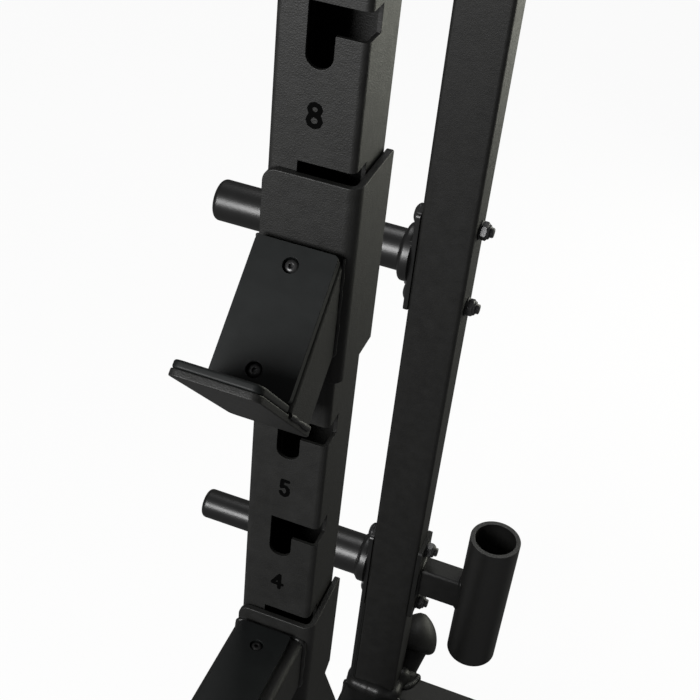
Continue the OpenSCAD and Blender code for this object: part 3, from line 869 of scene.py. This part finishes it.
# Each digit's strokes on a grid 6 wide and 10 high, as runs of points
DIGIT_STROKES: dict[str, list[list[tuple[float, float]]]] = {
    "0": [
        [(0, 3), (0, 7), (0.9, 9.1), (3, 10), (5.1, 9.1), (6, 7), (6, 3), (5.1, 0.9), (3, 0)]
        + [(0.9, 0.9), (0, 3)],
    ],
    "1": [[(1.2, 8), (3.4, 10), (3.4, 0)]],
    "2": [[(0.2, 7.6), (1, 9.3), (3, 10), (5, 9.3), (5.8, 7.5), (5.2, 5.7), (0.2, 0), (6, 0)]],
    "3": [
        [(0.2, 8.2), (1.2, 9.6), (3, 10), (5, 9.4), (5.7, 7.7), (5, 6), (2.6, 5.3)],
        [(2.6, 5.3), (5.1, 4.7), (6, 2.7), (5.1, 0.7), (3, 0), (1, 0.5), (0, 2.1)],
    ],
    "4": [[(4.4, 0), (4.4, 10), (0, 3), (6.2, 3)]],
    "5": [
        [(4.9, 10), (1.4, 10), (1.1, 5.4), (2.4, 6.2), (3.9, 6), (5, 4.6), (5.2, 2.7), (4.5, 0.8), (3, 0)]
        + [(1.5, 0.5), (0.8, 1.9)],
    ],
    "6": [
        [(5.3, 8.9), (3.7, 10), (1.7, 9.2), (0.4, 6.8), (0, 3.4), (0.8, 1), (3, 0), (5.2, 0.9), (6, 3)]
        + [(5.2, 5.2), (3, 6.1), (0.9, 5.2), (0, 3.4)],
    ],
    "7": [[(0, 10), (6, 10), (4, 5.6), (2.6, 0)]],
    "8": [
        [(3, 5.4), (1, 6.2), (0.4, 7.8), (1.2, 9.4), (3, 10), (4.8, 9.4), (5.6, 7.8), (5, 6.2), (3, 5.4)]
        + [(0.8, 4.5), (0, 2.7), (0.8, 0.8), (3, 0), (5.2, 0.8), (6, 2.7), (5.2, 4.5), (3, 5.4)],
    ],
    "9": [
        [(0.7, 1.1), (2.3, 0), (4.3, 0.8), (5.6, 3.2), (6, 6.6), (5.2, 9), (3, 10), (0.8, 9.1), (0, 7)]
        + [(0.8, 4.8), (3, 3.9), (5.1, 4.8), (6, 6.6)],
    ],
}
DIGIT_HEIGHT = 10.0
DIGIT_WIDTH = 6.0


@dataclass
class SlotNumbers:
    """The numbers painted below the slots of one front upright."""

    rack: Rack
    side: Side
    count: int = 15
    first_top_mm: float = 488.0
    pitch_mm: float = 103.7
    drop_mm: float = 70.8
    height_mm: float = 18.0
    width_mm: float = 11.5
    stroke_mm: float = 3.3
    relief_mm: float = 0.12
    gap_mm: float = 3.0
    end_steps: int = 6

    def build(self) -> None:
        """Makes one flat number below each slot."""
        low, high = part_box(f"{self.side.word}_front_upright")
        digits = {digit: self.digit(digit) for digit in DIGIT_STROKES}
        advance = (self.width_mm + self.gap_mm) * MM
        upright = Matrix.Rotation(math.radians(90), 4, "X")
        for number in range(1, self.count + 1):
            height = (self.first_top_mm + (number - 1) * self.pitch_mm - self.drop_mm) * MM
            word = str(number)
            pieces = []
            for place, digit in enumerate(word):
                x = (low.x + high.x) / 2 + (place - (len(word) - 1) / 2) * advance
                spot = Matrix.Translation((x, low.y, height)) @ upright
                pieces.append(placed_copy(digits[digit], "digit", spot))
            finish_piece(joined(pieces, f"{self.side.word}_slot_number_{number}"), NUMBER_PAINT, "frame")
        for model in digits.values():
            bpy.data.objects.remove(model, do_unlink=True)

    def digit(self, digit: str) -> Object:
        """Draws one digit as a flat mesh, its middle at the origin and its face towards +Z."""
        width = self.width_mm - self.stroke_mm
        height = self.height_mm - self.stroke_mm
        painted: Object | None = None
        for run in DIGIT_STROKES[digit]:
            points = [((x / DIGIT_WIDTH - 0.5) * width, (y / DIGIT_HEIGHT - 0.5) * height) for x, y in run]
            for start, end in zip(points, points[1:]):
                bar = self.bar(start, end)
                if painted is None:
                    painted = bar
                else:
                    carve(painted, bar, "UNION")
        return painted

    def bar(self, start: tuple[float, float], end: tuple[float, float]) -> Object:
        """Makes one straight piece of a stroke, flat and with round ends.

        Args:
            start: its first end in millimetres.
            end: its other end.

        Returns:
            The closed mesh, standing on the XY plane.
        """
        heading = math.atan2(end[1] - start[1], end[0] - start[0])
        half = self.stroke_mm / 2
        ring = []
        for (x, y), first in ((end, -90), (start, 90)):
            for i in range(self.end_steps + 1):
                angle = heading + math.radians(first + 180 * i / self.end_steps)
                ring.append(((x + half * math.cos(angle)) * MM, (y + half * math.sin(angle)) * MM, 0.0))
        mesh = bpy.data.meshes.new("stroke")
        mesh.from_pydata(ring, [], [tuple(range(len(ring)))])
        obj = bpy.data.objects.new("stroke", mesh)
        bpy.context.scene.collection.objects.link(obj)
        edit(obj)
        bpy.ops.mesh.extrude_region_move(TRANSFORM_OT_translate={"value": (0, 0, self.relief_mm * MM)})
        bpy.ops.mesh.select_all(action="SELECT")
        bpy.ops.mesh.normals_make_consistent(inside=False)
        leave_edit()
        return obj


@dataclass
class WeightStorage:
    """Plate pegs, bar holders and band pegs."""

    rack: Rack
    plate_edge_mm: float = 0.7

    def build(self) -> None:
        """Dresses the pegs and holders."""
        for side in Side:
            for part in ("upper_peg", "lower_peg", "holder_bracket"):
                self.rack.dress(f"{side.word}_{part}", self.plate_edge_mm)
            # The holder tubes take the coat with lighter shades: painted light where the lamps leave them
            # dark
            self.rack.dress(f"{side.word}_holder_tube", self.plate_edge_mm, finish=LIT_ROUND_COAT)
            # The band pegs take the duller satin coat whose lighter shades are painted light
            self.rack.dress(f"{side.word}_band_peg", self.plate_edge_mm, finish=DULL_LIT_SATIN_COAT)


@dataclass
class Fasteners:
    """The bolts, washers and nuts of the frame and the liners' screws, in millimetres.

    A profile is a list of radii and heights. Its steps of a millimetre or less are chamfers and rounds.
    """

    rack: Rack
    head_r: float = 12.0
    head_h: float = 7.0
    shank_r: float = 6.0
    thread_pitch: float = 1.75
    thread_len: float = 16.0
    nut_across: float = 18.0
    washer_r: float = 10.8
    screw_r: float = 5.0
    screw_h: float = 3.5
    socket_across: float = 8.0
    edge: float = 0.25
    screw_edge: float = 0.15
    edge_angle: float = 35.0
    bolt_turns: tuple[int, int, int] = (30, 60, 7)
    screw_turns: tuple[int, int, int] = (23, 360, 0)

    def build(self) -> None:
        """Fits a modelled fastener over each construction solid."""
        for node, model, outward in (
            ("peg_bolts", self.bolt, 1),
            ("peg_nuts", self.nut, -1),
            ("peg_washers", self.washer, -1),
            ("bar_screws", self.bolt, -1),
        ):
            self.fit(node, model, X * outward, True, BLACK_OXIDE, self.bolt_turns)

    def fit(
        self,
        node: str,
        model: Callable[[float], Object],
        way: Vector,
        mirrored: bool,
        finish: Finish,
        turns: tuple[int, int, int],
    ) -> None:
        """Stands copies of a model in for the solids of a node.

        Args:
            node: the construction node.
            model: makes the fastener for a length in millimetres, its top at height 0.
            way: the direction that its top faces, on the right side if it is mirrored.
            mirrored: whether the left side's solids face the other way.
            finish: its finish.
            turns: the step, the span and the start of the copies' turns, in degrees.
        """
        made: dict[int, Object] = {}
        pieces = []
        step, span, first = turns
        for points in loose_parts(self.rack.frame["nodes"][node]):
            middle = sum(points, Vector()) / len(points)
            top = way * math.copysign(1, middle.x) if mirrored else way
            reach = [(point - middle).dot(top) for point in points]
            length = (max(reach) - min(reach)) / MM
            key = round(length)
            if key not in made:
                made[key] = model(length)
            place = towards(middle + top * max(reach), top, step * len(pieces) % span + first)
            pieces.append(placed_copy(made[key], node, place))
        for obj in made.values():
            bpy.data.objects.remove(obj, do_unlink=True)
        finish_piece(joined(pieces, node + "_skin"), finish, self.rack.body_of(node), [node])

    def bolt(self, length: float) -> Object:
        """A button-head bolt with a hexagon socket and a threaded end."""
        r, h = self.head_r, self.head_h
        end = -length
        profile = [(0, end), (self.shank_r - 1.2, end), (self.shank_r - 0.2, end + 1.1)]
        thread = end + 1.1
        while thread < min(end + self.thread_len, -h - self.thread_pitch):
            profile += [(self.shank_r - 0.85, thread + 0.45 * self.thread_pitch)]
            profile += [(self.shank_r, thread + 0.9 * self.thread_pitch)]
            thread += self.thread_pitch
        profile += [(self.shank_r, -h), (r - 0.8, -h), (r, -h + 0.8), (r, -h + 1.6)]
        profile += [(r - 0.5, -h + 2.9), (r - 1.7, -h + 4.4), (r - 3.5, -h + 5.7), (r - 5.4, -h + 6.6)]
        profile += [(r - 7, -0.1), (0, 0)]
        obj = turned("bolt", profile)
        carve(obj, hex_prism(self.socket_across, 6.0, -4.2))
        soften(obj, self.edge, 2, self.edge_angle)
        return obj

    def nut(self, length: float) -> Object:
        """A hexagon nut with chamfered corners and a locking collar."""
        wide = self.nut_across / math.sqrt(3)
        flat = self.nut_across / 2
        bore = self.shank_r + 0.05
        low = -length
        profile = [(bore, low), (flat + 0.1, low), (wide, low + 0.9), (wide, low + 5.2)]
        profile += [(flat + 0.2, low + 6.2), (flat - 0.8, low + 6.6), (flat - 0.9, -1.3), (flat - 1.5, -0.3)]
        profile += [(flat - 2.3, 0), (bore, 0), (bore, low)]
        obj = turned("nut", profile, 48)
        carve(obj, hex_prism(self.nut_across, length + 2, low - 1), "INTERSECT")
        soften(obj, self.edge, 2, self.edge_angle)
        return obj

    def washer(self, length: float) -> Object:
        """A plain washer with tumbled edges."""
        r, bore = self.washer_r, self.shank_r + 0.5
        profile = [(bore, -length), (r - 0.4, -length), (r, -length + 0.4), (r, -0.5), (r - 0.4, -0.05)]
        profile += [(bore + 0.2, 0), (bore, -0.2), (bore, -length)]
        obj = turned("washer", profile, 48)
        smooth(obj, 50)
        return obj

    def screw(self, length: float) -> Object:
        """A liner's screw with a hexagon socket."""
        r, h, low = self.screw_r, self.screw_h, -length
        profile = [(0, low), (0.6 * r, low), (0.6 * r, -h), (r - 0.3, -h), (r, -h + 0.3), (r, -h + 1.3)]
        profile += [(r - 0.5, -h + 2.3), (r - 1.4, -h + 3.1), (r - 2.4, 0), (0, 0)]
        obj = turned("screw", profile, 36)
        carve(obj, hex_prism(0.66 * r, 4.0, -2.2))
        soften(obj, self.screw_edge, 2, self.edge_angle)
        return obj


@dataclass
class HungAttachment:
    """A bar catch or a spotter arm, hung in two slots."""

    rack: Rack
    side: Side
    kind: str
    steel: tuple[str, ...]
    plastic: tuple[str, ...]
    liner_slope: float
    screw_finish: Finish
    steel_edge_mm: float = 0.8
    plastic_edge_mm: float = 1.6

    def build(self) -> None:
        """Dresses its plates, tube, hooks and liners."""
        prefix = f"{self.side.word}_{self.kind}_"
        for part in self.steel:
            self.rack.dress(prefix + part, self.steel_edge_mm, 3)
        for part in self.plastic:
            self.rack.dress(prefix + part, self.plastic_edge_mm, 4)
        self.rack.dress(prefix + "hooks", 0.6)
        slope = math.radians(self.liner_slope)
        axis = Vector((0, -math.sin(slope), math.cos(slope)))
        kit = Fasteners(self.rack)
        kit.fit(prefix + "screws", kit.screw, axis, False, self.screw_finish, kit.screw_turns)


# Studio


@dataclass(frozen=True)
class Camera:
    """The photograph's viewpoint, measured from the floor below the left upright's front corner."""

    place_mm: tuple[float, float, float] = (256.75, -627.53, 1469.06)
    turn_deg: tuple[float, float, float] = (52.97, -5.221, 20.573)
    lens_mm: float = 61.81
    sensor_mm: float = 36.0

    def build(self) -> None:
        """Makes the camera and hands it to the scene."""
        corner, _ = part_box("left_front_upright")
        data = bpy.data.cameras.new("camera")
        data.lens = self.lens_mm
        data.sensor_width = self.sensor_mm
        data.clip_start, data.clip_end = 0.01, 60.0
        obj = bpy.data.objects.new("camera", data)
        obj.location = Vector((corner.x, corner.y, 0.0)) + Vector(self.place_mm) * MM
        obj.rotation_euler = [math.radians(v) for v in self.turn_deg]
        bpy.context.scene.collection.objects.link(obj)
        bpy.context.scene.camera = obj


@dataclass(frozen=True)
class Lamp:
    """A soft box that points at a place in the rack and is hidden from the camera."""

    name: str
    place: tuple[float, float, float]
    aim: tuple[float, float, float]
    size: float
    watts: float
    colour: tuple[float, float, float] = (1.0, 1.0, 1.0)

    def build(self) -> None:
        """Hangs the lamp."""
        data = bpy.data.lights.new(self.name, "AREA")
        data.color = self.colour
        data.shape = "SQUARE"
        data.size = self.size
        data.energy = self.watts
        obj = bpy.data.objects.new(self.name, data)
        obj.matrix_world = towards(Vector(self.place), Vector(self.place) - Vector(self.aim))
        obj.visible_camera = False
        bpy.context.scene.collection.objects.link(obj)


@dataclass(frozen=True)
class Studio:
    """A white floor, a dim sky and soft boxes at the front left, behind and above."""

    floor_size: float = 40.0
    paper_grey: float = 0.05
    paper_seen: float = 0.945
    paper_mirrored: float = 0.08
    sky_seen: float = 0.97
    sky_low: float = 0.03
    sky_high: float = 0.11
    lamps: tuple[Lamp, ...] = (
        Lamp("front_box", (-1.26, -1.67, 1.5), (-0.6, 0.1, 0.97), 0.95, 35.0),
        Lamp("back_box", (0.5, 1.95, 0.9), (-0.4, 0.5, 0.6), 1.4, 16.5, (0.99, 1.0, 0.87)),
        Lamp("top_box", (-0.7, 1.4, 2.6), (-0.5, 0.3, 0.4), 1.0, 8.5),
    )

    def build(self) -> None:
        """Sets the floor, the sky and the lamps."""
        bpy.ops.object.select_all(action="DESELECT")
        bpy.ops.mesh.primitive_plane_add(size=self.floor_size, location=(0, 0, -0.2 * MM))
        floor = settle(bpy.context.view_layer.objects.active)
        floor.name = "studio_floor"
        paper = bpy.data.materials.new("studio_paper")
        floor.data.materials.append(paper)
        self.paint_paper(paper)
        sky = bpy.data.worlds.new("studio_sky")
        bpy.context.scene.world = sky
        self.paint_sky(sky)
        for lamp in self.lamps:
            lamp.build()
        bpy.context.scene.view_settings.view_transform = "Standard"

    def seen_or(self, tree: NodeTree, seen: float, other: NodeSocket) -> NodeSocket:
        """A strength for the camera's own rays, also through glass, and another for the rest."""
        rays = add_node(tree, "ShaderNodeLightPath").outputs
        own = {0: rays["Is Camera Ray"], 1: rays["Is Transmission Ray"]}
        eye = add_node(tree, "ShaderNodeMath", own, operation="MAXIMUM").outputs[0]
        return add_node(tree, "ShaderNodeMix", {0: eye, 2: other, 3: seen}, data_type="FLOAT").outputs[0]

    def paint_sky(self, sky: World) -> None:
        """Paints a sky that is white to the camera and brightens upwards for the rack."""
        sky.use_nodes = True
        tree = sky.node_tree
        tree.nodes.clear()
        way = add_node(tree, "ShaderNodeTexCoord").outputs["Generated"]
        height = add_node(tree, "ShaderNodeSeparateXYZ", {0: way}).outputs["Z"]
        glow = add_node(
            tree,
            "ShaderNodeMapRange",
            {
                "Value": height,
                "From Min": -0.2,
                "From Max": 1.0,
                "To Min": self.sky_low,
                "To Max": self.sky_high,
            },
        )
        strength = self.seen_or(tree, self.sky_seen, glow.outputs[0])
        light = add_node(tree, "ShaderNodeBackground", {"Color": WHITE, "Strength": strength})
        add_node(tree, "ShaderNodeOutputWorld", {"Surface": light.outputs[0]})

    def paint_paper(self, paper: Material) -> None:
        """Paints a floor that is white to the camera, with a faint shadow, and dim in the coat's shine."""
        paper.use_nodes = True
        tree = paper.node_tree
        tree.nodes.clear()
        rays = add_node(tree, "ShaderNodeLightPath").outputs
        mirrored = add_node(
            tree, "ShaderNodeMath", {0: rays["Is Glossy Ray"], 1: self.paper_mirrored}, operation="MULTIPLY"
        )
        strength = self.seen_or(tree, self.paper_seen, mirrored.outputs[0])
        grey = (self.paper_grey, self.paper_grey, self.paper_grey, 1.0)
        shader = add_node(
            tree,
            "ShaderNodeBsdfPrincipled",
            {
                "Base Color": grey,
                "Roughness": 0.9,
                "Emission Color": WHITE,
                "Emission Strength": strength,
            },
        )
        add_node(tree, "ShaderNodeOutputMaterial", {"Surface": shader.outputs["BSDF"]})


def main() -> None:
    """Builds the rack and its studio."""
    logging.basicConfig(level=logging.INFO, format="%(name)s %(message)s")
    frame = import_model()
    rack = Rack(frame)
    Tubework(rack).build()
    rack.dress("pull_up_bar", 0.6)
    WeightStorage(rack).build()
    Fasteners(rack).build()
    Welds(rack).build()
    for side in Side:
        SlotNumbers(rack, side).build()
        HungAttachment(
            rack,
            side,
            "catch",
            steel=("plate", "cradle", "lip"),
            plastic=("back_liner", "lip_liner"),
            liner_slope=CRADLE_SLOPE_DEG,
            screw_finish=BLACK_OXIDE,
        ).build()
        HungAttachment(
            rack,
            side,
            "spotter",
            steel=("plate", "tube", "end_plate"),
            plastic=("liner",),
            liner_slope=0.0,
            screw_finish=COATED_STEEL,
        ).build()
    Studio().build()
    Camera().build()


if __name__ == "__main__":
    main()
